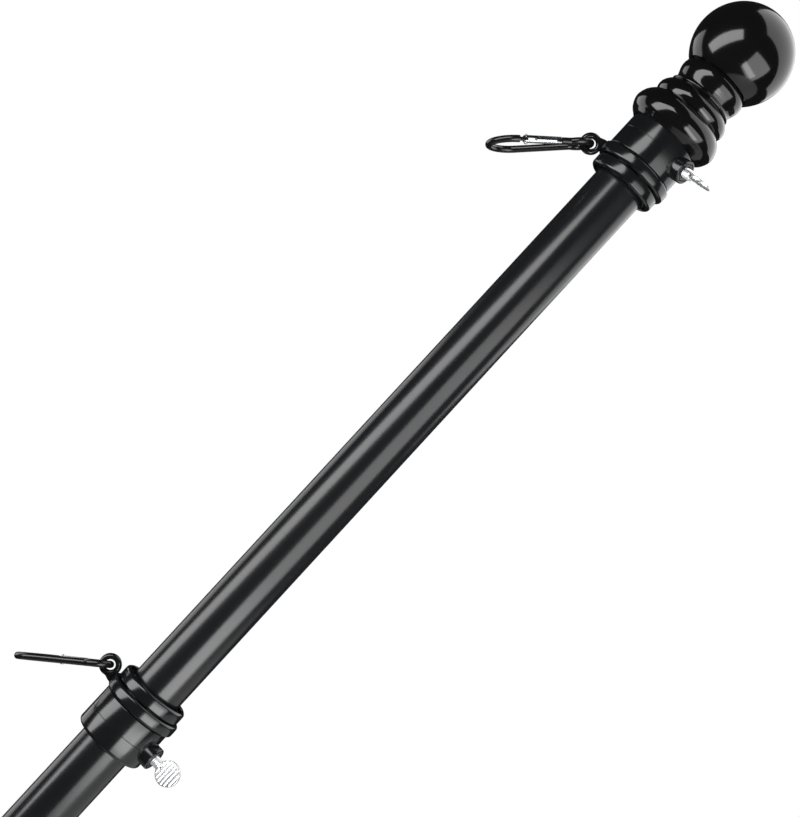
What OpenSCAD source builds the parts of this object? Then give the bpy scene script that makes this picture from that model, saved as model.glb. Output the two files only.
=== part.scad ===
// Wall-mounted flagpole: a two-position cast bracket, a pole in three tube
// sections, two swivelling flag rings with snap hooks, and a ball finial.
// Sizes are in millimetres. The wall is the plane X = 0, +X points out of it and
// +Z up. The origin is on the bracket's wall face, on the axis of its level
// socket. The pole leans up and away from the wall in the plane Y = 0.

/* [Pole] */
// outside diameter of the pole tube
pole_d = 25.4; // [21:0.1:28]
// wall thickness of the pole tube
pole_wall = 1.0; // [0.8:0.1:1.6]
// length of the tube from its foot to its top end
pole_length = 1440; // [900:10:2000]
// length of each plug that joins two sections
plug_length = 60; // [30:5:80]
// lean of the pole away from the wall, in degrees
pole_lean = 45; // [42:1:48]

/* [Flag rings] */
// outside diameter of the clamping collar
collar_d = 34.8; // [33:0.1:37]
// length of the clamping collar
collar_h = 20; // [18:0.5:26]
// outside diameter of the end flange
flange_d = 34.2; // [33:0.1:36]
// length of the end flange
flange_h = 6.2; // [5:0.1:8]
// outside diameter of the swivelling ring
swivel_d = 37.4; // [37:0.1:40]
// length of the swivelling ring
swivel_h = 5.8; // [5:0.1:7]
// distance between the facing flanges of the two rings
ring_gap = 310; // [200:5:900]
// how far the flag eyes lean towards the flange
eye_shift = 3.4; // [2:0.1:4]
// how far the lower thumb screw is turned to the front
lower_screw_turn = 18; // [0:1:60]
// how far the upper thumb screw is turned to the front
upper_screw_turn = 35; // [0:1:60]

/* [Thumb screws] */
// thread diameter
screw_d = 5; // [4:0.5:6]
// diameter of the flat thumb disc
thumb_d = 11.8; // [10:0.1:13]
// thickness of the thumb disc
thumb_t = 2.6; // [2:0.1:4]
// turn of the upper thumb disc about its screw
upper_disc_turn = 78; // [0:1:90]
// outside diameter of the boss that holds the nut
boss_d = 11.4; // [11:0.1:14]
// distance from the pole axis to the face of the boss
boss_reach = 21.5; // [21:0.1:25]
// free shank between the boss and the thumb disc
shank_gap = 2.9; // [2:0.1:6]

/* [Snap hooks] */
// overall length of the hook
hook_length = 50; // [46:1:60]
// overall width of the large bow
hook_width = 24; // [22:0.5:28]
// overall width of the small bow
hook_neck = 14.6; // [14:0.1:17]
// wire diameter
wire_d = 3.3; // [2.8:0.1:3.6]
// angle of the lower hook below square to the pole
hook_drop = 37; // [0:1:40]
// angle of the upper hook below square to the pole
upper_hook_drop = 43; // [0:1:46]
// tilt of the upper hook about its own length
upper_hook_tilt = 3; // [0:1:9]
// tilt of the lower hook about its own length
lower_hook_tilt = 7; // [0:1:9]
// swing of the lower hook to the back, in its own plane
lower_hook_swing = 24; // [0:1:30]

/* [Finial] */
// diameter of the ball
ball_d = 48; // [40:1:60]
// diameter of the widest bead
skirt_d = 45.6; // [44:0.2:52]
// diameter of the middle bead
bead_d = 38; // [36:0.2:42]
// diameter of the top bead
top_bead_d = 33.8; // [32:0.2:36]

/* [Bracket] */
// thickness of the wall plate
plate_t = 4; // [3:0.5:6]
// width of the wall plate at its two corners
plate_w = 61; // [58:1:70]
// outside diameter of the sockets
socket_d = 32; // [31:0.2:35]
// outside diameter of the thick rim at the mouth
rim_d = 35; // [34:0.2:38]
// distance from the wall to the mouth, along the pole
mouth_reach = 94; // [88:1:110]
// diameter of the screw holes
hole_d = 4.8; // [4:0.1:6]
// distance between the two top screw holes
hole_spacing = 44; // [40:1:46]

/* [Hidden] */
$fn = 64;

// pole
pole_r = pole_d / 2;
bore_r = pole_r - pole_wall;
section_length = pole_length / 3;
plug_gap = 0.1;
plug_wall = 1.4;
socket_clearance = 0.3;
socket_bore_r = pole_r + socket_clearance;

// where the pole starts: the axis crosses the wall below the level socket
axis_drop = 20.5;
foot = 24;
top = foot + pole_length;

// flag rings
collar_clearance = 0.3;
collar_bore_r = pole_r + collar_clearance;
swivel_gap = 0.08;
side_gap = 0.3;
neck_wall = 2.2;
neck_r = collar_bore_r + neck_wall;
tenon_wall = 1.2;
tenon_r = collar_bore_r + tenon_wall;
fixed_gap = 0.02;
recess_wall = 2.4;
recess_r = collar_bore_r + recess_wall;
recess_depth = 3.6;
ring_length = collar_h + swivel_h + 2 * side_gap + flange_h;
end_round = 2.2;
nut_flats = 8;
nut_t = 3.4;
thread_gap = 0.08;
screw_tip_gap = 0.3;
screw_hole_gap = 0.3;

// flag eyes
eye_d = 10.4;
eye_hole_d = 4.9;
eye_t = 3.2;
eye_reach = 23.2;

// thumb screws
thumb_reach = boss_reach + shank_gap + thumb_d / 2;

// snap hooks: measured from the outside of the small bow
wire_r = wire_d / 2;
small_r = (hook_neck - wire_d) / 2;
large_r = (hook_width - wire_d) / 2;
small_y = hook_neck / 2;
large_y = hook_length - hook_width / 2;
leg_spread = 12.6;
bend_r = 2.5;
gate_d = 3.6;
gate_start = 0.17;
pin_place = 0.86;
pin_d = 1.2;
pin_length = 4.6;
pin_gap = 0.08;
tongue_flat = 1.4;
slot_w = 2.0;
gate_heel_r = 2.5;
heel_gap = 0.4;
nose_gap = 0.4;
// the small bow and the legs end inside the bends and the large bow
thin_wire_r = wire_r - 0.05;
lap = 0.3;
lap_angle = 3;
nose_length = 2.6;

// finial, measured from its lower rim
rim_recess = 2.8;
spigot_h = 24;
tube_seat = 4;
neck_top = 37;
ball_height = 54;
finial_foot = top - tube_seat;

// where the rings sit along the pole
upper_ring_top = finial_foot + rim_recess;
upper_ring_foot = upper_ring_top - ring_length;
lower_ring_top = upper_ring_foot - ring_gap;

cast_black = "#26282b";
tube_black = "#2e3033";
gloss_black = "#141517";
bright_steel = "#c9ccd0";
gate_silver = "#dfe1e3";

// ---- placing ----

module along_pole(distance) {
    translate([0, 0, -axis_drop])
        rotate([0, pole_lean, 0])
            translate([0, 0, distance])
                children();
}

module lower_ring_place() {
    along_pole(lower_ring_top - ring_length)
        children();
}

module upper_ring_place() {
    along_pole(upper_ring_top)
        mirror([0, 0, 1])
            children();
}

module lower_turn() {
    rotate([0, 0, -lower_screw_turn])
        children();
}

module upper_turn() {
    rotate([0, 0, -upper_screw_turn])
        children();
}

// ---- wall bracket ----

plate_corner_z = 28.5;
plate_peak_z = 41.5;
plate_foot_z = -50;
tip_r = 18;
corner_r = 2.2;
scallop_r = 48;
scallop_sag = 2.6;
top_hole_z = 21.5;
tip_hole_z = -42.3;
ridge_h = 1.2;
ridge_foot_z = 4;
arm_low = 50;
arm_t = 13;
arm_high = arm_low + arm_t;
arm_length = 60;
rim_h = 15;
socket_floor = 7;
dome_reach = axis_drop / sin(pole_lean);
foot_w = socket_d - 1;
dome_r = socket_d / 2 + 0.15;

// draws a flat outline standing on the wall: its x runs up the wall
module on_wall(thick) {
    rotate([0, -90, 0])
        mirror([0, 0, 1])
            linear_extrude(height = thick)
                children();
}

module plate_outline() {
    half = plate_w / 2;
    rise = plate_peak_z - plate_corner_z;
    tilt = atan2(rise, half);
    out = scallop_r - scallop_sag;
    difference() {
        hull() {
            translate([plate_foot_z + tip_r, 0])
                circle(r = tip_r);
            for (side = [-1, 1])
                translate([plate_corner_z - corner_r, side * (half - corner_r)])
                    circle(r = corner_r, $fn = 32);
            translate([plate_peak_z - corner_r, 0])
                circle(r = corner_r, $fn = 32);
        }
        for (side = [-1, 1])
            translate([plate_corner_z + rise / 2 + out * cos(tilt), side * (half / 2 + out * sin(tilt))])
                circle(r = scallop_r, $fn = 128);
    }
}

// low ridge that rises from the peak of the plate to the foot
module plate_ridge() {
    half = plate_w / 2;
    translate([plate_t - 0.05, 0, top_hole_z])
        rotate([0, -90, 0])
            mirror([0, 0, 1])
                linear_extrude(height = ridge_h, scale = 0.02)
                    polygon([[plate_peak_z - top_hole_z, 0],
                        [plate_corner_z - top_hole_z, half], [ridge_foot_z - top_hole_z, 0.8 * half],
                        [ridge_foot_z - top_hole_z, -0.8 * half], [plate_corner_z - top_hole_z, -half]]);
}

module arm_outline() {
    circle(d = socket_d);
    translate([0, -socket_d / 2])
        square([arm_length, socket_d]);
}

module screw_hole(y, z) {
    translate([-1, y, z])
        rotate([0, 90, 0])
            cylinder(d = hole_d, h = plate_t + 2);
}

module wall_bracket() {
    color(cast_black)
        difference() {
            union() {
                on_wall(plate_t)
                    plate_outline();
                intersection() {
                    on_wall(2 * plate_t)
                        plate_outline();
                    plate_ridge();
                }
                // the leaning socket and its thick rim
                along_pole(dome_reach)
                    cylinder(d = socket_d, h = mouth_reach - dome_reach);
                along_pole(mouth_reach - rim_h)
                    cylinder(d = rim_d, h = rim_h);
                // the dome that closes both sockets
                translate([axis_drop, 0, 0])
                    rotate([0, 90, 0])
                        sphere(r = dome_r);
                rotate([0, 90, 0])
                    cylinder(d = socket_d, h = axis_drop);
                // foot under the leaning socket
                translate([0, foot_w / 2, 0])
                    rotate([90, 0, 0])
                        linear_extrude(height = foot_w)
                            polygon([[0, -2], [axis_drop, -2], [22, 14], [12.3, 14], [plate_t, top_hole_z],
                                [0, top_hole_z]]);
                // arm that carries the open ring of the level socket
                intersection() {
                    on_wall(2 * arm_length)
                        arm_outline();
                    along_pole(arm_low)
                        translate([0, -socket_d / 2, 0])
                            cube([arm_length, socket_d, arm_t]);
                }
            }
            // leaning bore
            along_pole(foot)
                cylinder(r = socket_bore_r, h = mouth_reach);
            // level bore
            translate([socket_floor, 0, 0])
                rotate([0, 90, 0])
                    cylinder(r = socket_bore_r, h = 2 * arm_length);
            // cut-away behind the rim
            along_pole(arm_high)
                translate([2, -rim_d, 0])
                    cube([rim_d, 2 * rim_d, mouth_reach - rim_h - arm_high]);
            for (side = [-1, 1])
                screw_hole(side * hole_spacing / 2, top_hole_z);
            screw_hole(0, tip_hole_z);
        }
}

// ---- pole ----

module pole_section(number, plugged) {
    color(tube_black)
        along_pole(foot + number * section_length)
            difference() {
                union() {
                    cylinder(r = pole_r, h = section_length);
                    if (plugged)
                        cylinder(r = bore_r - plug_gap, h = section_length + plug_length);
                }
                translate([0, 0, -1])
                    cylinder(r = bore_r, h = section_length + (plugged ? -plug_length : 1) + 1);
                if (plugged)
                    translate([0, 0, -1])
                        cylinder(r = bore_r - plug_wall, h = section_length + plug_length + 2);
            }
}

module pole_lower_section() {
    pole_section(0, true);
}

module pole_middle_section() {
    pole_section(1, true);
}

module pole_upper_section() {
    pole_section(2, false);
}

// ---- flag ring, drawn with its collar below and its flange on top ----

swivel_foot = collar_h + side_gap;
flange_foot = collar_h + swivel_h + 2 * side_gap;
eye_height = swivel_foot + swivel_h / 2 + eye_shift;

module along_screw(distance) {
    translate([0, 0, collar_h / 2])
        rotate([0, 90, 0])
            translate([0, 0, distance])
                children();
}

module collar() {
    color(cast_black)
        difference() {
            union() {
                cylinder(d1 = collar_d - 2 * end_round, d2 = collar_d, h = end_round);
                translate([0, 0, end_round])
                    cylinder(d = collar_d, h = collar_h - end_round);
                cylinder(r = neck_r, h = flange_foot);
                cylinder(r = tenon_r, h = flange_foot + flange_h - recess_depth);
                along_screw(0)
                    cylinder(d = boss_d, h = boss_reach);
            }
            translate([0, 0, -1])
                cylinder(r = collar_bore_r, h = ring_length + 2);
            along_screw(0)
                cylinder(d = screw_d + 2 * screw_hole_gap, h = boss_reach + 1);
            along_screw(boss_reach - nut_t)
                cylinder(r = nut_flats / sqrt(3) + fixed_gap, h = nut_t + 1, $fn = 6);
        }
}

module flange() {
    color(cast_black)
        translate([0, 0, flange_foot])
            difference() {
                cylinder(d = flange_d, h = flange_h);
                translate([0, 0, -1])
                    cylinder(r = tenon_r + fixed_gap, h = flange_h + 2);
                translate([0, 0, flange_h - recess_depth])
                    cylinder(r = recess_r, h = recess_depth + 1);
            }
}

module swivel_ring() {
    low = swivel_foot;
    high = swivel_foot + swivel_h;
    color(cast_black)
        difference() {
            union() {
                translate([0, 0, low])
                    cylinder(d = swivel_d, h = swivel_h);
                translate([-eye_reach, eye_t / 2, eye_height])
                    rotate([90, 0, 0])
                        cylinder(d = eye_d, h = eye_t);
                // web from the ring to the eye
                translate([0, eye_t / 2, 0])
                    rotate([90, 0, 0])
                        linear_extrude(height = eye_t)
                            polygon([[1 - swivel_d / 2, low], [-0.3 - swivel_d / 2, low],
                                [-eye_reach - 1.2, eye_height - eye_d / 2 + 0.3], [-eye_reach, eye_height],
                                [0.4 - swivel_d / 2, eye_height + 0.6], [1 - swivel_d / 2, high]]);
            }
            translate([0, 0, collar_h])
                cylinder(r = neck_r + swivel_gap, h = swivel_h + 2 * side_gap);
            translate([-eye_reach, eye_t, eye_height])
                rotate([90, 0, 0])
                    cylinder(d = eye_hole_d, h = 2 * eye_t);
        }
}

module nut() {
    color(cast_black)
        along_screw(boss_reach - nut_t)
            difference() {
                cylinder(r = nut_flats / sqrt(3), h = nut_t, $fn = 6);
                translate([0, 0, -1])
                    cylinder(d = screw_d + 2 * thread_gap, h = nut_t + 2);
            }
}

module thumb_screw(disc_turn) {
    tip = pole_r + screw_tip_gap;
    color(bright_steel) {
        along_screw(tip)
            cylinder(d = screw_d, h = boss_reach + shank_gap + 1.8 - tip);
        along_screw(thumb_reach)
            rotate([0, 0, disc_turn])
                translate([0, thumb_t / 2, 0])
                    rotate([90, 0, 0])
                        cylinder(d = thumb_d, h = thumb_t);
    }
}

// ---- snap hook, drawn flat: x across it, y along it from the outside of the small bow ----

centre_gap = large_y - small_y;
leg_offset = large_r - centre_gap * sin(leg_spread);
leg_rise = sqrt(pow(small_r + bend_r, 2) - pow(leg_offset + bend_r, 2));
leg_length = centre_gap * cos(leg_spread) - leg_rise;
bend_sweep = atan2(leg_rise, leg_offset + bend_r);
neck_angle = bend_sweep - leg_spread;
pin_along = pin_place * leg_length;

// turns y along the gate's leg
module leg_frame() {
    translate([0, small_y, 0])
        rotate([0, 0, -leg_spread])
            children();
}

// x runs along the gate's leg from the neck to the large bow
module along_gate_leg(distance) {
    leg_frame()
        translate([leg_offset, leg_rise + distance, 0])
            rotate([0, 0, 90])
                children();
}

module wire(from, to) {
    translate([from, 0, 0])
        rotate([0, 90, 0])
            cylinder(r = thin_wire_r, h = to - from);
}

module arc(radius, start, sweep, thick_r) {
    rotate([0, 0, start])
        rotate_extrude(angle = sweep)
            translate([radius, 0])
                circle(r = thick_r, $fn = 32);
}

module neck_bend() {
    leg_frame()
        translate([leg_offset + bend_r, leg_rise, 0])
            arc(bend_r, 180, bend_sweep, wire_r);
}

// the wire of the small bow passes through the origin; the hook hangs along -X
module hook_frame() {
    rotate([0, 0, 90])
        translate([0, -wire_r, 0])
            children();
}

module flat_tongue(from, to, half_w) {
    translate([from, -half_w, -tongue_flat / 2])
        cube([to - from, 2 * half_w, tongue_flat]);
}

module hook_body() {
    color(tube_black)
        hook_frame()
            difference() {
                union() {
                    translate([0, small_y, 0])
                        arc(small_r, 180 - neck_angle - lap_angle, 180 + 2 * (neck_angle + lap_angle),
                            thin_wire_r);
                    translate([0, large_y, 0])
                        arc(large_r, -leg_spread, 180 + 2 * leg_spread, wire_r);
                    neck_bend();
                    mirror([1, 0, 0])
                        neck_bend();
                    mirror([1, 0, 0])
                        along_gate_leg(0)
                            wire(-lap, leg_length + lap);
                    along_gate_leg(0) {
                        // nose in the free end of the gate
                        wire(-lap, gate_start * leg_length - nose_gap);
                        flat_tongue(1, gate_start * leg_length + nose_length - nose_gap, 1.2);
                        // tongue that the gate turns on
                        wire(pin_along + gate_heel_r + heel_gap, leg_length + lap);
                        flat_tongue(pin_along, leg_length, 1.2);
                        translate([pin_along, 0, -tongue_flat / 2])
                            cylinder(r = 1.2, h = tongue_flat);
                    }
                }
                along_gate_leg(pin_along)
                    translate([0, 0, -pin_length])
                        cylinder(d = pin_d, h = 2 * pin_length);
            }
}

module hook_gate() {
    color(gate_silver)
        hook_frame()
            along_gate_leg(0)
                difference() {
                    intersection() {
                        translate([gate_start * leg_length, 0, 0])
                            rotate([0, 90, 0])
                                cylinder(d = gate_d, h = leg_length);
                        union() {
                            translate([0, -gate_d, -gate_d])
                                cube([pin_along, 2 * gate_d, 2 * gate_d]);
                            translate([pin_along, 0, -gate_d])
                                cylinder(r = gate_heel_r, h = 2 * gate_d);
                        }
                    }
                    // slots for the nose and for the tongue
                    translate([0, -gate_d, -slot_w / 2])
                        cube([gate_start * leg_length + nose_length, 2 * gate_d, slot_w]);
                    translate([pin_along - 2 * gate_heel_r, -gate_d, -slot_w / 2])
                        cube([leg_length, 2 * gate_d, slot_w]);
                    translate([pin_along, 0, -gate_d])
                        cylinder(d = pin_d + 2 * pin_gap, h = 2 * gate_d);
                }
}

module hook_pin() {
    color(bright_steel)
        hook_frame()
            along_gate_leg(pin_along)
                translate([0, 0, -pin_length / 2])
                    cylinder(d = pin_d, h = pin_length);
}

module lower_hook_place() {
    lower_ring_place()
        translate([-eye_reach, 0, eye_height])
            rotate([0, -hook_drop, 0])
                rotate([-lower_hook_tilt, 0, 0])
                    translate([-small_r, 0, 0])
                        rotate([0, 0, -lower_hook_swing])
                            translate([small_r, 0, 0])
                                children();
}

// the upper hook hangs the same way round, with its gate on the other side
module upper_hook_place() {
    upper_ring_place()
        translate([-eye_reach, 0, eye_height])
            rotate([0, upper_hook_drop, 0])
                rotate([upper_hook_tilt, 0, 0])
                    mirror([0, 1, 0])
                        children();
}

// ---- finial, drawn from its lower rim ----

module beads() {
    difference() {
        union() {
            square([15, neck_top]);
            translate([0, neck_top - 4])
                square([15.6, 4]);
            intersection() {
                translate([skirt_d / 2 - 7.4, 7.4])
                    circle(r = 7.4);
                square([40, 7.4]);
            }
            intersection() {
                translate([skirt_d / 2 - 8.5, 7.4])
                    circle(r = 8.5);
                translate([0, 7.4])
                    square([40, 20]);
            }
            square([skirt_d / 2 - 5, 7.4]);
            translate([bead_d / 2 - 5, 18.8])
                circle(r = 5);
            translate([top_bead_d / 2 - 5, 32.6])
                circle(r = 5);
        }
        translate([-40, -10])
            square([40, 80]);
        translate([0, neck_top])
            square([40, 20]);
    }
}

module finial_base() {
    color(gloss_black)
        along_pole(finial_foot) {
            difference() {
                rotate_extrude()
                    beads();
                translate([0, 0, -1])
                    cylinder(d = collar_d + 2 * collar_clearance, h = rim_recess + side_gap + 1);
                translate([0, 0, -1])
                    cylinder(r = pole_r + fixed_gap, h = tube_seat + 1);
            }
            translate([0, 0, tube_seat - spigot_h])
                cylinder(r = bore_r - plug_gap, h = spigot_h);
        }
}

module finial_ball() {
    color(gloss_black)
        along_pole(finial_foot)
            intersection() {
                translate([0, 0, ball_height])
                    sphere(d = ball_d);
                translate([-ball_d, -ball_d, neck_top])
                    cube(2 * ball_d);
            }
}

// ---- the pieces in their places ----

module lower_collar() { lower_ring_place() lower_turn() collar(); }
module lower_flange() { lower_ring_place() flange(); }
module lower_swivel_ring() { lower_ring_place() swivel_ring(); }
module lower_nut() { lower_ring_place() lower_turn() nut(); }
module lower_thumb_screw() { lower_ring_place() lower_turn() thumb_screw(0); }
module lower_hook_body() { lower_hook_place() hook_body(); }
module lower_hook_gate() { lower_hook_place() hook_gate(); }
module lower_hook_pin() { lower_hook_place() hook_pin(); }
module upper_collar() { upper_ring_place() upper_turn() collar(); }
module upper_flange() { upper_ring_place() flange(); }
module upper_swivel_ring() { upper_ring_place() swivel_ring(); }
module upper_nut() { upper_ring_place() upper_turn() nut(); }
module upper_thumb_screw() { upper_ring_place() upper_turn() thumb_screw(upper_disc_turn); }
module upper_hook_body() { upper_hook_place() hook_body(); }
module upper_hook_gate() { upper_hook_place() hook_gate(); }
module upper_hook_pin() { upper_hook_place() hook_pin(); }

wall_bracket();
pole_lower_section();
pole_middle_section();
pole_upper_section();
lower_collar();
lower_flange();
lower_swivel_ring();
lower_nut();
lower_thumb_screw();
lower_hook_body();
lower_hook_gate();
lower_hook_pin();
upper_collar();
upper_flange();
upper_swivel_ring();
upper_nut();
upper_thumb_screw();
upper_hook_body();
upper_hook_gate();
upper_hook_pin();
finial_base();
finial_ball();
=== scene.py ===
import math

import bmesh
import bpy
from mathutils import Matrix, Vector


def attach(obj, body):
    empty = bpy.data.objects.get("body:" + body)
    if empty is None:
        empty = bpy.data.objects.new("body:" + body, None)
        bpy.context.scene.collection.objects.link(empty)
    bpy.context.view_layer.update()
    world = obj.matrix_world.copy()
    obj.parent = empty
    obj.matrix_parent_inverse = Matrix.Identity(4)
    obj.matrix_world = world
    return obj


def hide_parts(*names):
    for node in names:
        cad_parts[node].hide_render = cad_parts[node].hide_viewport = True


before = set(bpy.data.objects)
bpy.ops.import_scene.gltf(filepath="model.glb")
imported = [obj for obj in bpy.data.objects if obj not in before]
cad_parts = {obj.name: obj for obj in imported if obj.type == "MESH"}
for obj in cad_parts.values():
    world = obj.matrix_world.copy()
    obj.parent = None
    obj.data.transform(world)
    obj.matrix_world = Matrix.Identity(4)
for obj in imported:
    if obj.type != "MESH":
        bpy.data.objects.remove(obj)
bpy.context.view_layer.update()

# ---------------------------------------------------------------- sizes, mm, as in the CAD model

# the pole: its lean from upright, where its axis meets the wall, its tube, plugs and sections
LEAN = 45.0
AXIS_DROP = 20.5
POLE_R = 12.7
BORE_R = 11.7
POLE_FOOT = 24.0
SECTION = 480.0
PLUG = 60.0
PLUG_R = 11.6
PLUG_BORE_R = 10.3
FINIAL_FOOT = 1460.0

# the flag rings: places along the pole, then radii and heights from the collar's foot
LOWER_RING_FOOT = 1087.6
UPPER_RING_TOP = 1462.8
COLLAR_R = 17.4
COLLAR_BORE_R = 13.0
COLLAR_H = 20.0
NECK_R = 15.2
TENON_R = 14.2
SWIVEL_FOOT = 20.3
SWIVEL_TOP = 26.1
SWIVEL_R = 18.7
SWIVEL_BORE_R = 15.28
FLANGE_FOOT = 26.4
FLANGE_TOP = 32.6
FLANGE_R = 17.1
RECESS_R = 15.4
RECESS_FLOOR = 29.0
EYE_REACH = 23.2
EYE_HEIGHT = 26.6
EYE_R = 5.2
EYE_HOLE_R = 2.45
EYE_HALF = 1.6

# the boss, nut and thumb screw: lengths are from the pole's axis, turns in degrees
SCREW_TURN = {"lower": 18.0, "upper": 35.0}
BOSS_R = 5.7
BOSS_FOOT = 13.6
BOSS_REACH = 21.5
BOSS_HOLE_R = 2.8
BOSS_SIDES = 72
SEAM_HALF = 0.14
SEAM_DEPTH = 0.16
NUT_H = 3.4
NUT_HALF = 4.0
SCREW_R = 2.5
THREAD_PITCH = 0.8
THREAD_RIDGE = 0.42
THUMB_R = 5.9
THUMB_T = 2.6
THUMB_REACH = 30.3
SHANK_END = 25.8
DISC_TURN = {"lower": 0.0, "upper": 78.0}
CORE_INSET = 0.5
RIB_COUNT = 6
RIB_PITCH = 1.75
RIB_WIDTH = 0.95
RIB_BEVEL = 0.42

# the snap hook: its wire, its small and large bows, its legs, and the gate with its rivet
WIRE_R = 1.65
SMALL_R = 5.65
LARGE_R = 10.35
SMALL_Y = 7.3
LARGE_Y = 38.0
LEG_SPREAD = math.radians(12.6)
BEND_R = 2.5
GATE_R = 1.8
GATE_START = 0.17
PIN_PLACE = 0.86
HEEL_R = 2.5
NOSE_GAP = 0.4
NOSE_LENGTH = 2.6
NOSE_BASE = 1.2
TONGUE_HALF = 0.7
TONGUE_HALF_HEIGHT = 1.15
SLOT_HALF = 1.0
SLOT_HALF_HEIGHT = 3.0
PIN_R = 0.55
PIN_HEAD_R = 0.85
PIN_HALF = 1.87
PIN_HEAD_HALF = 2.3

# how the hooks are held out: down from square to the pole, about their length, about the small bow
LOWER_HOOK_DROP = 37.0
LOWER_HOOK_TILT = 7.0
LOWER_HOOK_SWING = 24.0
UPPER_HOOK_DROP = 43.0
UPPER_HOOK_TILT = 3.0

# how many sides the broad round pieces have
BROAD_SIDES = 128

MM = Matrix.Scale(0.001, 4)


def shift(x, y, z):
    return Matrix.Translation((x, y, z))


def turn(degrees, axis):
    return Matrix.Rotation(math.radians(degrees), 4, axis)


def flip(x, y, z):
    return Matrix.Diagonal((x, y, z, 1.0))


POLE = shift(0, 0, -AXIS_DROP) @ turn(LEAN, "Y")
RING = {
    "lower": POLE @ shift(0, 0, LOWER_RING_FOOT),
    "upper": POLE @ shift(0, 0, UPPER_RING_TOP) @ flip(1, 1, -1),
}
SCREW = shift(0, 0, COLLAR_H / 2) @ turn(90, "Y")
EYE = shift(-EYE_REACH, 0, EYE_HEIGHT)
FLAT_HOOK = turn(90, "Z") @ shift(0, -WIRE_R, 0)
HOOK = {
    "lower": RING["lower"] @ EYE @ turn(-LOWER_HOOK_DROP, "Y") @ turn(-LOWER_HOOK_TILT, "X")
    @ shift(-SMALL_R, 0, 0) @ turn(-LOWER_HOOK_SWING, "Z") @ shift(SMALL_R, 0, 0) @ FLAT_HOOK,
    "upper": RING["upper"] @ EYE @ turn(UPPER_HOOK_DROP, "Y") @ turn(UPPER_HOOK_TILT, "X")
    @ flip(1, -1, 1) @ FLAT_HOOK,
}


def beside_pole(along, above=0.0, in_front=0.0):
    """A point along the pole's axis, above it and in front of it, in metres."""
    return (POLE @ Vector((-above, -in_front, along))) * 0.001


# ---------------------------------------------------------------- node trees


def add(tree, kind, values=None, **settings):
    """Adds a node, with its settings, and its inputs as values or as links."""
    made = tree.nodes.new(kind)
    for key, value in settings.items():
        setattr(made, key, value)
    for key, value in (values or {}).items():
        if isinstance(value, bpy.types.NodeSocket):
            tree.links.new(value, made.inputs[key])
        else:
            made.inputs[key].default_value = value
    return made


def linear(code):
    """An sRGB hex colour as linear RGBA."""
    parts = [int(code[i:i + 2], 16) / 255 for i in (1, 3, 5)]
    return [c / 12.92 if c <= 0.04045 else ((c + 0.055) / 1.055) ** 2.4 for c in parts] + [1.0]


def per_mm(size):
    """A noise scale, in cells per metre, for a pattern of this size in mm."""
    return 1000.0 / size


def finish(name, colours, rough, patch, grain, relief, stretch=1.0, metallic=0.0, ior=1.5):
    """A surface with cloudy colour, uneven gloss and a fine relief.

    colours: two hex colours; rough: lowest and highest roughness; patch, grain: sizes in mm;
    relief: height of the grain in mm; stretch: how much longer the grain is along the pole.
    """
    made = bpy.data.materials.new(name)
    made.use_nodes = True
    tree = made.node_tree
    tree.nodes.clear()
    where = add(tree, "ShaderNodeTexCoord")
    along = add(tree, "ShaderNodeMapping", {
        "Vector": where.outputs["Object"],
        "Rotation": (0.0, math.radians(-LEAN), 0.0),
    })
    grained = add(tree, "ShaderNodeMapping", {
        "Vector": along.outputs["Vector"],
        "Scale": (1.0, 1.0, 1.0 / stretch),
    })
    cloud = add(tree, "ShaderNodeTexNoise", {
        "Vector": along.outputs["Vector"], "Scale": per_mm(patch), "Detail": 3.0, "Roughness": 0.55,
    })
    fine = add(tree, "ShaderNodeTexNoise", {
        "Vector": grained.outputs["Vector"], "Scale": per_mm(grain), "Detail": 2.0, "Roughness": 0.5,
    })
    tint = add(tree, "ShaderNodeMix", {
        0: cloud.outputs["Fac"], 6: linear(colours[0]), 7: linear(colours[1]),
    }, data_type="RGBA")
    gloss = add(tree, "ShaderNodeMapRange", {
        "Value": cloud.outputs["Fac"], "From Min": 0.3, "From Max": 0.7,
        "To Min": rough[0], "To Max": rough[1],
    })
    bump = add(tree, "ShaderNodeBump", {
        "Height": fine.outputs["Fac"], "Strength": 1.0, "Distance": relief * 0.001,
    })
    shader = add(tree, "ShaderNodeBsdfPrincipled", {
        "Base Color": tint.outputs[2],
        "Roughness": gloss.outputs["Result"],
        "Normal": bump.outputs["Normal"],
        "Metallic": metallic,
    })
    if not metallic:
        shader.inputs["IOR"].default_value = ior
    add(tree, "ShaderNodeOutputMaterial", {"Surface": shader.outputs["BSDF"]})
    return made


# satin powder coat on drawn steel tube: soft broad highlights, the faintest orange peel
TUBE_COAT = finish("satin_powder_coat_tube", ("#131416", "#1a1b1d"), (0.2, 0.24), 60, 0.9, 0.0012,
                   stretch=3.0)
# semi-gloss coat on turned aluminium: crisper highlights and a fine turned texture
RING_COAT = finish("semi_gloss_coat_rings", ("#101112", "#17181a"), (0.14, 0.18), 14, 0.5, 0.0010)
# powder coat on sand-cast aluminium: a coarser skin and softer gloss
CAST_COAT = finish("powder_coat_casting", ("#151618", "#1d1e20"), (0.36, 0.46), 18, 1.1, 0.012)
# black moulded plastic, polished mould: deep black with sharp reflections
GLOSS_PLASTIC = finish("moulded_gloss_plastic", ("#0b0b0c", "#101011"), (0.09, 0.13), 30, 6.0, 0.0010,
                       ior=1.49)
# black electro-coated spring wire: glossy, with faint drawing marks
WIRE_COAT = finish("black_coated_wire", ("#0e0e0f", "#161617"), (0.18, 0.26), 6, 0.4, 0.0010)
# black oxide on steel nuts: dull with a slight sheen
OXIDE = finish("black_oxide_steel", ("#17181a", "#222326"), (0.3, 0.42), 3, 0.3, 0.0020)
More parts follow.
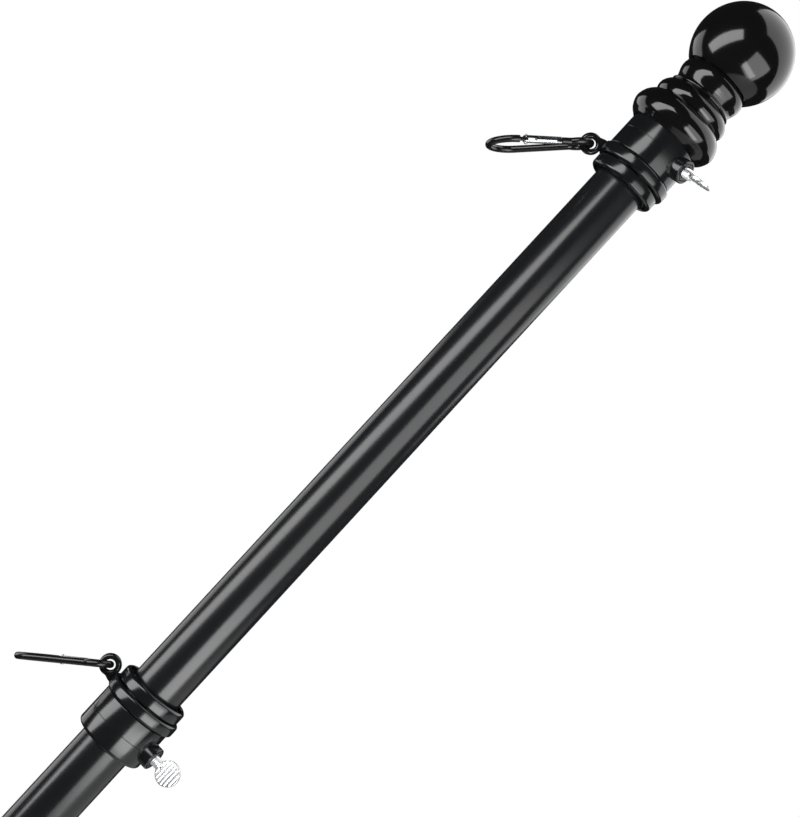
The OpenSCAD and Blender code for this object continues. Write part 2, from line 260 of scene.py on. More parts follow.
# bright tube of the gates: polished metal with fine marks along it
GATE_METAL = finish("polished_steel_gate", ("#c9ccce", "#dadcde"), (0.16, 0.28), 4, 0.25, 0.0015,
                    metallic=1.0)
# bright zinc plating on the thumb screws: pale metal with a mottled gloss
ZINC = finish("bright_zinc_plate", ("#dcdee0", "#f0f1f2"), (0.34, 0.44), 2.2, 0.3, 0.0030, metallic=1.0)


# ---------------------------------------------------------------- mesh code


def rounded(corners, steps=5):
    """Rounds the corners (x, y, radius) of an outline and returns its points."""
    points = []
    count = len(corners)
    for i, (x, y, radius) in enumerate(corners):
        corner = Vector((x, y))
        if not radius:
            points.append(corner)
            continue
        back = (Vector(corners[i - 1][:2]) - corner).normalized()
        ahead = (Vector(corners[(i + 1) % count][:2]) - corner).normalized()
        half = math.acos(max(-1.0, min(1.0, back.dot(ahead)))) / 2
        centre = corner + (back + ahead).normalized() * radius / math.sin(half)
        start = corner + back * radius / math.tan(half) - centre
        end = corner + ahead * radius / math.tan(half) - centre
        for step in range(steps + 1):
            points.append(centre + start.slerp(end, step / steps) * radius)
    return points


def smooth_line(knots, steps=6):
    """A smooth line through the knots."""
    points = []
    for i in range(len(knots) - 1):
        a, b, c, d = (Vector(knots[max(0, min(len(knots) - 1, i + k))]) for k in (-1, 0, 1, 2))
        for step in range(steps):
            t = step / steps
            points.append(0.5 * ((2 * b) + (c - a) * t + (2 * a - 5 * b + 4 * c - d) * t * t
                                 + (3 * b - a - 3 * c + d) * t ** 3))
    points.append(Vector(knots[-1]))
    return points


def spun(outline, sides=96, flats=()):
    """Turns an outline (radius, height) round the Z axis.

    The outline is closed unless it starts and ends on the axis. flats names the points that lie
    on a hexagon, whose radius is then half the width across its flats.
    """
    mesh = bmesh.new()
    rows = []
    for i, (radius, height) in enumerate(outline):
        if radius < 1e-6:
            rows.append([mesh.verts.new((0, 0, height))])
            continue
        row = []
        for k in range(sides):
            angle = 2 * math.pi * k / sides
            reach = radius
            if i in flats:
                reach = radius / math.cos(angle % (math.pi / 3) - math.pi / 6)
            row.append(mesh.verts.new((reach * math.cos(angle), reach * math.sin(angle), height)))
        rows.append(row)
    open_line = len(rows[0]) == 1 and len(rows[-1]) == 1
    for i in range(len(rows) - 1 if open_line else len(rows)):
        low, high = rows[i], rows[(i + 1) % len(rows)]
        for k in range(sides):
            n = (k + 1) % sides
            if len(low) == 1:
                mesh.faces.new((low[0], high[k], high[n]))
            elif len(high) == 1:
                mesh.faces.new((low[k], low[n], high[0]))
            else:
                mesh.faces.new((low[k], low[n], high[n], high[k]))
    bmesh.ops.recalc_face_normals(mesh, faces=mesh.faces)
    return mesh


def slab(points, half, bevel):
    """A flat plate of the outline's shape in the XZ plane, 2 * half thick, with eased edges."""
    mesh = bmesh.new()
    near = [mesh.verts.new((x, -half, z)) for x, z in points]
    far = [mesh.verts.new((x, half, z)) for x, z in points]
    mesh.faces.new(near)
    mesh.faces.new(far)
    for k in range(len(points)):
        n = (k + 1) % len(points)
        mesh.faces.new((near[k], near[n], far[n], far[k]))
    bmesh.ops.recalc_face_normals(mesh, faces=mesh.faces)
    if bevel:
        bmesh.ops.bevel(mesh, geom=mesh.edges[:], offset=bevel, segments=3, profile=0.5, affect="EDGES")
    return mesh


def block(low, high, bevel=0.0):
    """A box between two corners, with eased edges."""
    mesh = bmesh.new()
    bmesh.ops.create_cube(mesh, size=1.0)
    size = [b - a for a, b in zip(low, high)]
    centre = [(a + b) / 2 for a, b in zip(low, high)]
    mesh.transform(shift(*centre) @ flip(*size))
    if bevel:
        bmesh.ops.bevel(mesh, geom=mesh.edges[:], offset=bevel, segments=2, profile=0.5, affect="EDGES")
    return mesh


def joined(*parts):
    """Puts several meshes into one."""
    whole = bmesh.new()
    for part in parts:
        loose = bpy.data.meshes.new("part")
        part.to_mesh(loose)
        part.free()
        whole.from_mesh(loose)
        bpy.data.meshes.remove(loose)
    return whole


def placed(mesh, place):
    """Moves a mesh and keeps its faces outwards where the move mirrors it."""
    mesh.transform(place)
    if place.determinant() < 0:
        bmesh.ops.reverse_faces(mesh, faces=mesh.faces)
    return mesh


def stand_in(name, mesh):
    """An object for a mesh, in the scene."""
    data = bpy.data.meshes.new(name)
    mesh.to_mesh(data)
    mesh.free()
    made = bpy.data.objects.new(name, data)
    bpy.context.scene.collection.objects.link(made)
    return made


def evaluated(made):
    """The mesh that an object's modifiers give, as plain mesh code, and the object gone."""
    bpy.context.view_layer.update()
    seen = made.evaluated_get(bpy.context.evaluated_depsgraph_get())
    data = bpy.data.meshes.new_from_object(seen)
    mesh = bmesh.new()
    mesh.from_mesh(data)
    bpy.data.meshes.remove(data)
    bpy.data.objects.remove(made)
    return mesh


def cut(mesh, *tools):
    """Takes the tools out of a mesh."""
    made = stand_in("cut", mesh)
    cutters = [stand_in("cutter", tool) for tool in tools]
    for cutter in cutters:
        step = made.modifiers.new("cut", "BOOLEAN")
        step.operation = "DIFFERENCE"
        step.solver = "EXACT"
        step.object = cutter
    result = evaluated(made)
    for cutter in cutters:
        bpy.data.objects.remove(cutter)
    return result


def piece(name, mesh, place, body, material, stands_for, sharp=34):
    """Finishes a piece: in its place, in metres, closed, smooth, with its finish and its body."""
    placed(mesh, MM @ place)
    bmesh.ops.remove_doubles(mesh, verts=mesh.verts, dist=1e-7)
    data = bpy.data.meshes.new(name)
    mesh.to_mesh(data)
    mesh.free()
    data.materials.clear()
    data.materials.append(material)
    for face in data.polygons:
        face.use_smooth = True
        face.material_index = 0
    data.set_sharp_from_angle(angle=math.radians(sharp))
    made = bpy.data.objects.new(name, data)
    bpy.context.scene.collection.objects.link(made)
    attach(made, body)
    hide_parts(*stands_for)
    return made


# ---------------------------------------------------------------- geometry node trees


def new_tree(name, sizes):
    """A geometry tree with named sizes; returns the tree, its start and its end."""
    tree = bpy.data.node_groups.new(name, "GeometryNodeTree")
    tree.interface.new_socket("Geometry", in_out="INPUT", socket_type="NodeSocketGeometry")
    for label, kind in sizes.items():
        tree.interface.new_socket(label, in_out="INPUT", socket_type=kind)
    tree.interface.new_socket("Geometry", in_out="OUTPUT", socket_type="NodeSocketGeometry")
    return tree, add(tree, "NodeGroupInput"), add(tree, "NodeGroupOutput")


def close_tree(tree, start, end, geometry):
    """Ends a tree in plain geometry with its material."""
    real = add(tree, "GeometryNodeRealizeInstances", {"Geometry": geometry})
    dressed = add(tree, "GeometryNodeSetMaterial", {
        "Geometry": real.outputs[0], "Material": start.outputs["Material"],
    })
    tree.links.new(dressed.outputs[0], end.inputs[0])


def grown(tree, data, sizes):
    """Runs a geometry tree on data with the given sizes and returns the mesh it makes."""
    made = bpy.data.objects.new("grown", data)
    bpy.context.scene.collection.objects.link(made)
    step = made.modifiers.new("grow", "NODES")
    step.node_group = tree
    for item in tree.interface.items_tree:
        if item.in_out == "INPUT" and item.name in sizes:
            step[item.identifier] = sizes[item.name]
    return evaluated(made)


# wire bent along a path
wire_tree, start, end = new_tree("wire_along_path", {
    "Wire radius": "NodeSocketFloat", "Sides": "NodeSocketInt", "Material": "NodeSocketMaterial",
})
section = add(wire_tree, "GeometryNodeCurvePrimitiveCircle", {
    "Resolution": start.outputs["Sides"], "Radius": start.outputs["Wire radius"],
})
swept = add(wire_tree, "GeometryNodeCurveToMesh", {
    "Curve": start.outputs["Geometry"], "Profile Curve": section.outputs["Curve"], "Fill Caps": True,
})
close_tree(wire_tree, start, end, swept.outputs["Mesh"])

# screw thread: a ridge wound round the shank
thread_tree, start, end = new_tree("screw_thread", {
    "Radius": "NodeSocketFloat", "Pitch": "NodeSocketFloat", "Turns": "NodeSocketFloat",
    "Ridge": "NodeSocketFloat", "Material": "NodeSocketMaterial",
})
climb = add(thread_tree, "ShaderNodeMath", {
    0: start.outputs["Pitch"], 1: start.outputs["Turns"],
}, operation="MULTIPLY")
helix = add(thread_tree, "GeometryNodeCurveSpiral", {
    "Resolution": 24, "Rotations": start.outputs["Turns"], "Start Radius": start.outputs["Radius"],
    "End Radius": start.outputs["Radius"], "Height": climb.outputs[0],
})
upright = add(thread_tree, "GeometryNodeSetCurveNormal", {"Curve": helix.outputs[0]}, mode="Z_UP")
ridge = add(thread_tree, "GeometryNodeCurvePrimitiveCircle", {
    "Resolution": 4, "Radius": start.outputs["Ridge"],
})
wound = add(thread_tree, "GeometryNodeCurveToMesh", {
    "Curve": upright.outputs[0], "Profile Curve": ridge.outputs["Curve"], "Fill Caps": True,
})
close_tree(thread_tree, start, end, wound.outputs["Mesh"])

# grip ribs across a round disc: each rib is as long as the chord where it lies
rib_tree, start, end = new_tree("grip_ribs", {
    "Count": "NodeSocketInt", "Pitch": "NodeSocketFloat", "Width": "NodeSocketFloat",
    "Height": "NodeSocketFloat", "Disc radius": "NodeSocketFloat", "Material": "NodeSocketMaterial",
})
last = add(rib_tree, "ShaderNodeMath", {0: start.outputs["Count"], 1: 1.0}, operation="SUBTRACT")
span = add(rib_tree, "ShaderNodeMath", {0: last.outputs[0], 1: start.outputs["Pitch"]}, operation="MULTIPLY")
first = add(rib_tree, "ShaderNodeMath", {0: span.outputs[0], 1: -0.5}, operation="MULTIPLY")
begin = add(rib_tree, "ShaderNodeCombineXYZ", {"Z": first.outputs[0]})
stride = add(rib_tree, "ShaderNodeCombineXYZ", {"Z": start.outputs["Pitch"]})
line = add(rib_tree, "GeometryNodeMeshLine", {
    "Count": start.outputs["Count"], "Start Location": begin.outputs[0], "Offset": stride.outputs[0],
})
place = add(rib_tree, "GeometryNodeInputPosition")
split = add(rib_tree, "ShaderNodeSeparateXYZ", {"Vector": place.outputs[0]})
share = add(rib_tree, "ShaderNodeMath", {
    0: split.outputs["Z"], 1: start.outputs["Disc radius"],
}, operation="DIVIDE")
square = add(rib_tree, "ShaderNodeMath", {0: share.outputs[0], 1: share.outputs[0]}, operation="MULTIPLY")
left = add(rib_tree, "ShaderNodeMath", {0: 1.0, 1: square.outputs[0]}, operation="SUBTRACT")
chord = add(rib_tree, "ShaderNodeMath", {0: left.outputs[0]}, operation="SQRT")
length = add(rib_tree, "ShaderNodeMath", {0: start.outputs["Disc radius"], 1: 2.0}, operation="MULTIPLY")
bar_size = add(rib_tree, "ShaderNodeCombineXYZ", {
    "X": length.outputs[0], "Y": start.outputs["Height"], "Z": start.outputs["Width"],
})
bar = add(rib_tree, "GeometryNodeMeshCube", {
    "Size": bar_size.outputs[0], "Vertices X": 2, "Vertices Y": 2, "Vertices Z": 2,
})
bar_scale = add(rib_tree, "ShaderNodeCombineXYZ", {"X": chord.outputs[0], "Y": 1.0, "Z": 1.0})
bars = add(rib_tree, "GeometryNodeInstanceOnPoints", {
    "Points": line.outputs["Mesh"], "Instance": bar.outputs["Mesh"], "Scale": bar_scale.outputs[0],
})
close_tree(rib_tree, start, end, bars.outputs["Instances"])


def empty_mesh():
    """A mesh with nothing in it, for a tree that needs no start."""
    return bpy.data.meshes.new("seed")


# ---------------------------------------------------------------- wall bracket

CAST_VOXEL = 0.00075
CAST_SMOOTHING = 4
WALL_BAND = CAST_VOXEL * 0.8


def casting():
    """The bracket's casting: every edge and inside corner softened as in a sand casting."""
    mesh = bmesh.new()
    mesh.from_mesh(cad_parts["wall_bracket"].data)
    bmesh.ops.remove_doubles(mesh, verts=mesh.verts, dist=1e-6)
    made = stand_in("casting", mesh)
    skin = made.modifiers.new("skin", "REMESH")
    skin.mode = "VOXEL"
    skin.voxel_size = CAST_VOXEL
    soft = made.modifiers.new("soft", "SMOOTH")
    soft.factor = 0.5
    soft.iterations = CAST_SMOOTHING
    result = evaluated(made)
    # the back stays flat against the wall
    for vert in result.verts:
        if vert.co.x < WALL_BAND:
            vert.co.x = 0.0
    result.transform(MM.inverted())
    return result


piece("bracket_casting", casting(), Matrix(), "bracket", CAST_COAT, ["wall_bracket"], sharp=180)

# ---------------------------------------------------------------- pole


def tube(plugged):
    """One section of the tube, with its plug at the top where it has one."""
    corners = [(BORE_R, 0, 0.2), (POLE_R, 0, 0.45), (POLE_R, SECTION, 0.45)]
    if plugged:
        corners += [(PLUG_R, SECTION, 0), (PLUG_R, SECTION + PLUG, 0.6), (PLUG_BORE_R, SECTION + PLUG, 0.2),
                    (PLUG_BORE_R, SECTION - PLUG, 0.2), (BORE_R, SECTION - PLUG, 0)]
    else:
        corners += [(BORE_R, SECTION, 0.2)]
    return spun(rounded(corners, 4), sides=BROAD_SIDES)


for number, name in enumerate(("pole_lower_section", "pole_middle_section", "pole_upper_section")):
    piece(name.replace("section", "tube"), tube(number < 2), POLE @ shift(0, 0, POLE_FOOT + number * SECTION),
          "pole", TUBE_COAT, [name])

# ---------------------------------------------------------------- finial

FINIAL_PLUG_FOOT = -20.0
# the plug, the step on the tube's end and the inside of the skirt: radius, height, corner radius
INSIDE = [
    (0, FINIAL_PLUG_FOOT, 0), (PLUG_R, FINIAL_PLUG_FOOT, 0.8), (PLUG_R, 4, 0), (12.72, 4, 0), (12.72, 3.1, 0),
    (16.9, 3.1, 0), (17.55, 2.4, 0), (17.65, 0.3, 0),
]
# the outside, from the skirt up: radius, height
SKIRT = [(17.75, 0.1), (18.5, 0.6), (19.5, 1.5), (20.9, 2.8), (21.9, 4.4), (22.6, 6.2), (22.8, 7.6),
         (22.6, 9.2), (22.1, 10.8), (21.4, 12.2), (20.4, 13.5), (19.2, 14.7), (17.9, 15.5)]
BEADS = [(17.9, 15.5), (18.4, 16.4), (18.9, 17.7), (19.0, 18.9), (18.8, 20.2), (18.2, 21.5), (17.3, 22.7),
         (16.2, 23.7), (15.7, 24.2)]
FILLET = [(15.7, 24.2), (16.1, 24.5), (16.3, 24.95), (16.1, 25.4), (15.4, 25.7)]
TOP_BEAD = [(15.4, 25.7), (15.1, 26.4), (15.4, 27.6), (16.0, 29.2), (16.6, 30.9), (16.9, 32.6), (16.8, 34.2),
            (16.4, 35.5), (15.9, 36.4)]
BEADS_TOP = 36.9
BALL_HEIGHT = 54.0
BALL_R = 24.0
BALL_CUT = 37.0


def finial_base():
    """Three beads over a hollow skirt, with the plug that goes into the tube."""
    outside = smooth_line(SKIRT)
    for part in (BEADS, FILLET, TOP_BEAD):
        outside += smooth_line(part)[1:]
    seat = [Vector((15.6, BEADS_TOP)), Vector((0, BEADS_TOP))]
    return spun(rounded(INSIDE, 4) + outside + seat, sides=BROAD_SIDES)


def finial_ball():
    """The ball, cut flat where it sits on the beads."""
    start_angle = math.asin((BALL_CUT - BALL_HEIGHT) / BALL_R)
    outline = [Vector((0, BALL_CUT))]
    steps = 64
    for step in range(steps + 1):
        angle = start_angle + (math.pi / 2 - start_angle) * step / steps
        radius = BALL_R * math.cos(angle) if step < steps else 0.0
        outline.append(Vector((radius, BALL_HEIGHT + BALL_R * math.sin(angle))))
    return spun(outline, sides=BROAD_SIDES)


FINIAL = POLE @ shift(0, 0, FINIAL_FOOT)
piece("finial_beads", finial_base(), FINIAL, "pole", GLOSS_PLASTIC, ["finial_base"])
piece("finial_globe", finial_ball(), FINIAL, "pole", GLOSS_PLASTIC, ["finial_ball"])

# ---------------------------------------------------------------- flag rings


def collar():
    """The clamping collar: rounded foot, a fine mould line at mid height, and the boss for the nut."""
    seam = COLLAR_H / 2
    body = rounded([
        (COLLAR_BORE_R, 0, 0.4), (COLLAR_R, 0, 1.9),
        (COLLAR_R, seam - SEAM_HALF, 0), (COLLAR_R - SEAM_DEPTH, seam, 0), (COLLAR_R, seam + SEAM_HALF, 0),
        (COLLAR_R, COLLAR_H, 0.5), (NECK_R, COLLAR_H, 0), (NECK_R, FLANGE_FOOT, 0),
        (TENON_R, FLANGE_FOOT, 0), (TENON_R, RECESS_FLOOR, 0.2), (COLLAR_BORE_R, RECESS_FLOOR, 0.3),
    ])
    # the boss, turned round the screw's axis, with its six-sided pocket
    pocket = BOSS_REACH - NUT_H
    boss = rounded([
        (BOSS_R, BOSS_FOOT, 0), (BOSS_R, BOSS_REACH, 0.6), (NUT_HALF + 0.3, BOSS_REACH, 0),
        (NUT_HALF + 0.05, BOSS_REACH - 0.3, 0), (NUT_HALF + 0.05, pocket, 0),
        (BOSS_HOLE_R, pocket, 0), (BOSS_HOLE_R, BOSS_FOOT, 0),
    ])
    # of the last five points, the first three belong to the six-sided pocket
    first = len(boss) - 5
    knob = spun(boss, sides=BOSS_SIDES, flats=(first, first + 1, first + 2))
    return joined(spun(body, sides=BROAD_SIDES), placed(knob, SCREW))


def flange():
    """The end flange, pressed on the collar's tenon, with its recess."""
    return spun(rounded([
        (TENON_R + 0.02, FLANGE_FOOT, 0.1), (FLANGE_R, FLANGE_FOOT, 1.0), (FLANGE_R, FLANGE_TOP, 1.6),
        (RECESS_R, FLANGE_TOP, 0.6), (RECESS_R, RECESS_FLOOR, 0.2), (TENON_R + 0.02, RECESS_FLOOR, 0.1),
    ], 6), sides=BROAD_SIDES)


def swivel_ring():
    """The ring that turns, with the eye that the hook hangs in."""
    band = spun(rounded([
        (SWIVEL_BORE_R, SWIVEL_FOOT, 0.3), (SWIVEL_R, SWIVEL_FOOT, 1.3), (SWIVEL_R, SWIVEL_TOP, 1.3),
        (SWIVEL_BORE_R, SWIVEL_TOP, 0.3),
    ], 6), sides=BROAD_SIDES)
    eye = spun(rounded([
        (EYE_HOLE_R, -EYE_HALF, 1.1), (EYE_R, -EYE_HALF, 1.4),
        (EYE_R, EYE_HALF, 1.4), (EYE_HOLE_R, EYE_HALF, 1.1),
    ], 7), sides=64)
    web = slab([
        (1.2 - SWIVEL_R, SWIVEL_FOOT + 0.5), (-0.3 - SWIVEL_R, SWIVEL_FOOT + 0.4),
        (-EYE_REACH - 0.6, EYE_HEIGHT - EYE_R + 1.0), (-EYE_REACH + 2.6, EYE_HEIGHT - 1.2),
        (0.2 - SWIVEL_R, EYE_HEIGHT + 0.2), (1.2 - SWIVEL_R, SWIVEL_TOP - 0.5),
    ], EYE_HALF - 0.1, 0.6)
    return joined(band, placed(eye, EYE @ turn(90, "X")), web)


def nut():
    """A six-sided nut with chamfered corners, in the boss's pocket."""
    half = NUT_H / 2
    outline = [Vector(p) for p in (
        (SCREW_R + 0.1, -half + 0.3), (SCREW_R + 0.5, -half),
        (NUT_HALF - 0.25, -half), (NUT_HALF, -half + 0.3),
        (NUT_HALF, half - 0.35), (NUT_HALF - 0.3, half),
        (SCREW_R + 0.6, half), (SCREW_R + 0.1, half - 0.4),
    )]
    return spun(outline, sides=BOSS_SIDES, flats=(2, 3, 4, 5))


# the neck below the disc: radius, height from the disc's centre, corner radius
THUMB_NECK = [(0, -6.6, 0), (2.0, -6.6, 0.3), (1.25, -4.2, 0.6), (1.2, -3.4, 0.2), (0, -3.4, 0)]


def thumb_screw():
    """A threaded shank with a flat ribbed disc to grip."""
    shank_foot = POLE_R + 0.3
    core = rounded([(0, shank_foot, 0), (SCREW_R - 0.45, shank_foot, 0.4), (SCREW_R - 0.3, SHANK_END, 0.5),
                    (0, SHANK_END, 0)], 3)
    shank = spun(core[:-1] + [Vector((0, SHANK_END))], sides=48)
    length = SHANK_END - 1.0 - shank_foot
    thread = grown(thread_tree, empty_mesh(), {
        "Radius": SCREW_R - THREAD_RIDGE, "Pitch": THREAD_PITCH, "Turns": length / THREAD_PITCH,
        "Ridge": THREAD_RIDGE, "Material": ZINC,
    })
    # the disc's core is thinner than its ribs, so that they stand out
    core_half = THUMB_T / 2 - CORE_INSET
    disc = spun(rounded([
        (0, -core_half, 0), (THUMB_R, -core_half, 0.35), (THUMB_R, core_half, 0.35), (0, core_half, 0),
    ], 4), sides=72)
    ribs = grown(rib_tree, empty_mesh(), {
        "Count": RIB_COUNT, "Pitch": RIB_PITCH, "Width": RIB_WIDTH, "Height": THUMB_T - 0.04,
        "Disc radius": THUMB_R - 0.2, "Material": ZINC,
    })
    bmesh.ops.bevel(ribs, geom=ribs.edges[:], offset=RIB_BEVEL, segments=1, affect="EDGES")
    neck = spun(rounded(THUMB_NECK, 3), sides=32)
    head = placed(joined(placed(disc, turn(90, "X")), ribs), shift(0, 0, THUMB_REACH))
    wound_thread = placed(thread, shift(0, 0, shank_foot + 0.5))
    return joined(shank, wound_thread, head, placed(neck, shift(0, 0, THUMB_REACH)))


# ---------------------------------------------------------------- snap hooks

CENTRE_GAP = LARGE_Y - SMALL_Y
LEG_OFFSET = LARGE_R - CENTRE_GAP * math.sin(LEG_SPREAD)
LEG_RISE = math.sqrt((SMALL_R + BEND_R) ** 2 - (LEG_OFFSET + BEND_R) ** 2)
LEG_LENGTH = CENTRE_GAP * math.cos(LEG_SPREAD) - LEG_RISE
BEND_SWEEP = math.atan2(LEG_RISE, LEG_OFFSET + BEND_R)
NECK_ANGLE = BEND_SWEEP - LEG_SPREAD
PIN_ALONG = PIN_PLACE * LEG_LENGTH
LEG = shift(0, SMALL_Y, 0) @ Matrix.Rotation(-LEG_SPREAD, 4, "Z")
GATE_LEG = LEG @ shift(LEG_OFFSET, LEG_RISE, 0) @ turn(90, "Z")


def arc_points(centre, radius, begin, finish_at, step=0.35):
    """Points on an arc in the flat of the hook, about step mm apart."""
    count = max(3, int(abs(finish_at - begin) * radius / step))
    return [Vector((centre[0] + radius * math.cos(begin + (finish_at - begin) * k / count),
                    centre[1] + radius * math.sin(begin + (finish_at - begin) * k / count), 0))
            for k in range(count + 1)]


def hook_path():
    """The bend of the wire, from the nose round the small bow and the large bow to the tongue."""
    inner = arc_points((LEG_OFFSET + BEND_R, LEG_RISE), BEND_R, math.pi, math.pi + BEND_SWEEP)
    bend = [LEG @ p for p in inner]
    other = [Vector((-p.x, p.y, 0)) for p in reversed(bend)]
    gate_side = [LEG @ Vector((LEG_OFFSET, LEG_RISE + along, 0))
                 for along in (GATE_START * LEG_LENGTH - NOSE_GAP, NOSE_BASE)]
    small = arc_points((0, SMALL_Y), SMALL_R, 2 * math.pi + NECK_ANGLE, math.pi - NECK_ANGLE)
    large = arc_points((0, LARGE_Y), LARGE_R, math.pi + LEG_SPREAD, -LEG_SPREAD)
    tail = [LEG @ Vector((LEG_OFFSET, LEG_RISE + PIN_ALONG + HEEL_R + NOSE_GAP, 0))]
    return gate_side + bend + small[1:-1] + other + large + tail


def hook_body():
    """The hook's wire, with the flat nose and tongue that the gate's slots take."""
    path = bpy.data.curves.new("path", "CURVE")
    path.dimensions = "3D"
    points = hook_path()
    spline = path.splines.new("POLY")
    spline.points.add(len(points) - 1)
    for point, place in zip(spline.points, points):
        point.co = (*place, 1.0)
    wire = grown(wire_tree, path, {"Wire radius": WIRE_R, "Sides": 24, "Material": WIRE_COAT})
    bmesh.ops.recalc_face_normals(wire, faces=wire.faces)
    nose_end = GATE_START * LEG_LENGTH + NOSE_LENGTH - NOSE_GAP
    nose = block((1, -TONGUE_HALF_HEIGHT, -TONGUE_HALF), (nose_end, TONGUE_HALF_HEIGHT, TONGUE_HALF), 0.25)
    tongue = block((PIN_ALONG - 1.0, -TONGUE_HALF_HEIGHT, -TONGUE_HALF),
                   (LEG_LENGTH, TONGUE_HALF_HEIGHT, TONGUE_HALF), 0.25)
    return joined(wire, placed(joined(nose, tongue), GATE_LEG))


def hook_gate():
    """The gate: a bright tube, slotted for the nose and for the tongue, with a rounded heel."""
    begin = GATE_START * LEG_LENGTH
    end_at = PIN_ALONG + GATE_R * 0.9
    bar = spun(rounded([
        (0, begin, 0), (GATE_R, begin, 0.3), (GATE_R, end_at, 1.5), (0, end_at, 0),
    ], 6), sides=48)
    placed(bar, turn(90, "Y"))
    nose_slot = block((0, -SLOT_HALF_HEIGHT, -SLOT_HALF), (begin + NOSE_LENGTH, SLOT_HALF_HEIGHT, SLOT_HALF))
    heel_slot = block((PIN_ALONG - 2 * HEEL_R, -SLOT_HALF_HEIGHT, -SLOT_HALF),
                      (LEG_LENGTH, SLOT_HALF_HEIGHT, SLOT_HALF))
    return cut(bar, nose_slot, heel_slot)


def hook_pin():
    """The rivet that the gate turns on, with a low head at each end."""
    return spun(rounded([
        (0, -PIN_HEAD_HALF, 0), (PIN_HEAD_R, -PIN_HEAD_HALF, 0.3), (PIN_HEAD_R, -PIN_HALF, 0),
        (PIN_R, -PIN_HALF, 0), (PIN_R, PIN_HALF, 0),
        (PIN_HEAD_R, PIN_HALF, 0), (PIN_HEAD_R, PIN_HEAD_HALF, 0.3), (0, PIN_HEAD_HALF, 0),
    ], 4), sides=32)


NUT_PLACE = BOSS_REACH - NUT_H / 2 + 0.15

for side in ("lower", "upper"):
    ring = RING[side]
    turned_ring = ring @ turn(-SCREW_TURN[side], "Z")
    screw = turned_ring @ SCREW
    gate_leg = HOOK[side] @ GATE_LEG
    clamp = side + "_clamp"
    piece(side + "_clamp_collar", collar(), turned_ring, clamp, RING_COAT, [side + "_collar"])
    piece(side + "_end_flange", flange(), ring, clamp, RING_COAT, [side + "_flange"])
    piece(side + "_turning_ring", swivel_ring(), ring, side + "_swivel", RING_COAT,
          [side + "_swivel_ring"])
    piece(side + "_boss_nut", nut(), screw @ shift(0, 0, NUT_PLACE), clamp, OXIDE,
          [side + "_nut"])
    piece(side + "_ribbed_screw", thumb_screw(), screw @ turn(DISC_TURN[side], "Z"), side + "_screw",
          ZINC, [side + "_thumb_screw"])
    piece(side + "_hook_wire", hook_body(), HOOK[side], side + "_hook", WIRE_COAT,
          [side + "_hook_body"])
    piece(side + "_gate_tube", hook_gate(), gate_leg, side + "_gate", GATE_METAL,
          [side + "_hook_gate"])
    piece(side + "_gate_rivet", hook_pin(), gate_leg @ shift(PIN_ALONG, 0, 0), side + "_hook",
          ZINC, [side + "_hook_pin"])

# ---------------------------------------------------------------- camera

CAMERA_ALONG = 1260.0
CAMERA_ABOVE = 2.0
CAMERA_DISTANCE = 754.5
AIM_ALONG = 1287.7
AIM_ABOVE = 5.3
POLE_ANGLE = math.radians(47.364)
LENS = 73.15

eye = beside_pole(CAMERA_ALONG, CAMERA_ABOVE, CAMERA_DISTANCE)
back = (eye - beside_pole(AIM_ALONG, AIM_ABOVE)).normalized()
pole_line = beside_pole(1.0) - beside_pole(0.0)
first_axis = (pole_line - pole_line.dot(back) * back).normalized()
second_axis = back.cross(first_axis)
right = math.cos(POLE_ANGLE) * first_axis - math.sin(POLE_ANGLE) * second_axis
up = math.sin(POLE_ANGLE) * first_axis + math.cos(POLE_ANGLE) * second_axis
lens = bpy.data.cameras.new("camera")
lens.lens = LENS
lens.sensor_width = 36.0
lens.sensor_fit = "AUTO"
lens.clip_start = 0.01
lens.clip_end = 50.0
camera = bpy.data.objects.new("camera", lens)
camera.matrix_world = Matrix((
    (right.x, up.x, back.x, eye.x), (right.y, up.y, back.y, eye.y),
    (right.z, up.z, back.z, eye.z), (0, 0, 0, 1),
))
bpy.context.scene.collection.objects.link(camera)
bpy.context.scene.camera = camera

# ---------------------------------------------------------------- studio


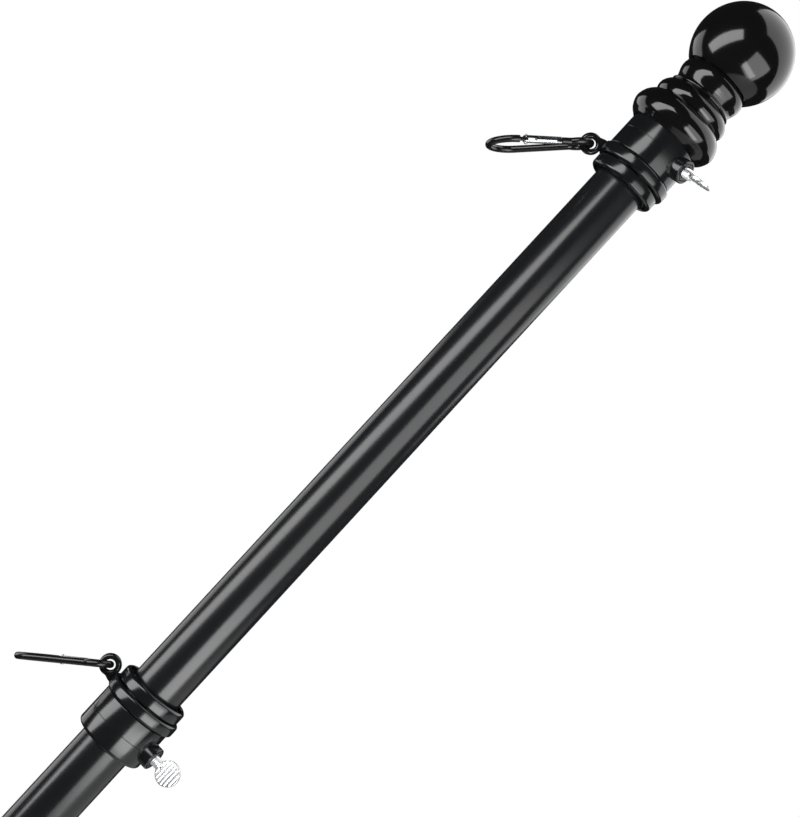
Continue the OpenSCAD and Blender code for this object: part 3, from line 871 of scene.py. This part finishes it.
def soft_box(name, begin, finish_at, width, glow):
    """A soft box along the line between two points beside the pole, facing the pole.

    The points are (along, above, in front), in mm; glow is its brightness per area.
    """
    ends = [beside_pole(*begin), beside_pole(*finish_at)]
    spot = (ends[0] + ends[1]) / 2
    side = (ends[1] - ends[0]).normalized()
    reach = spot - beside_pole((begin[0] + finish_at[0]) / 2)
    face = (reach - reach.dot(side) * side).normalized()
    other = face.cross(side)
    lamp = bpy.data.lights.new(name, "AREA")
    lamp.shape = "RECTANGLE"
    lamp.size = (ends[1] - ends[0]).length
    lamp.size_y = width * 0.001
    lamp.energy = glow * math.pi * lamp.size * lamp.size_y
    made = bpy.data.objects.new(name, lamp)
    made.matrix_world = Matrix((
        (side.x, other.x, face.x, spot.x), (side.y, other.y, face.y, spot.y),
        (side.z, other.z, face.z, spot.z), (0, 0, 0, 1),
    ))
    made.visible_camera = False
    bpy.context.scene.collection.objects.link(made)


# in front and below, for the broad band along the pole, and a brighter one by the lower ring
soft_box("key_box", (480, -900, 900), (1710, -900, 900), 1200, 3.3)
soft_box("low_key_box", (650, -800, 950), (980, -800, 950), 1000, 4.2)
# above, leaning forward, for the narrow band and the finial
soft_box("top_box", (600, 1300, 200), (1900, 600, 1200), 540, 6.2)
# beyond the finial, and above and behind the pole, for the edges
soft_box("side_box", (1560, -1065, -1050), (2940, 195, 375), 1500, 1.8)
soft_box("left_box", (300, 1200, -900), (1500, 1200, -900), 900, 1.6)

ROOM = "#222223"
BACKDROP = "#ffffff"

world = bpy.data.worlds.new("studio")
bpy.context.scene.world = world
world.use_nodes = True
sky = world.node_tree
sky.nodes.clear()
ray = add(sky, "ShaderNodeLightPath")
# a dark room in the reflections, and white where the camera looks past the part
seen = add(sky, "ShaderNodeMix", {
    0: ray.outputs["Is Camera Ray"], 6: linear(ROOM), 7: linear(BACKDROP),
}, data_type="RGBA")
ground = add(sky, "ShaderNodeBackground", {"Color": seen.outputs[2], "Strength": 1.0})
add(sky, "ShaderNodeOutputWorld", {"Surface": ground.outputs[0]})
bpy.context.scene.view_settings.view_transform = "Standard"

# metres
FLOOR_RADIUS = 1.1
FLOOR_CENTRE = (0.55, 0.3, -0.25)

floor_mesh = bmesh.new()
bmesh.ops.create_circle(floor_mesh, cap_ends=True, segments=96, radius=FLOOR_RADIUS)
floor_mesh.transform(shift(*FLOOR_CENTRE))
floor = stand_in("studio_floor", floor_mesh)
floor.data.materials.append(finish("pale_studio_floor", ("#e4e4e3", "#ececeb"), (0.6, 0.7), 300, 40, 0.05))
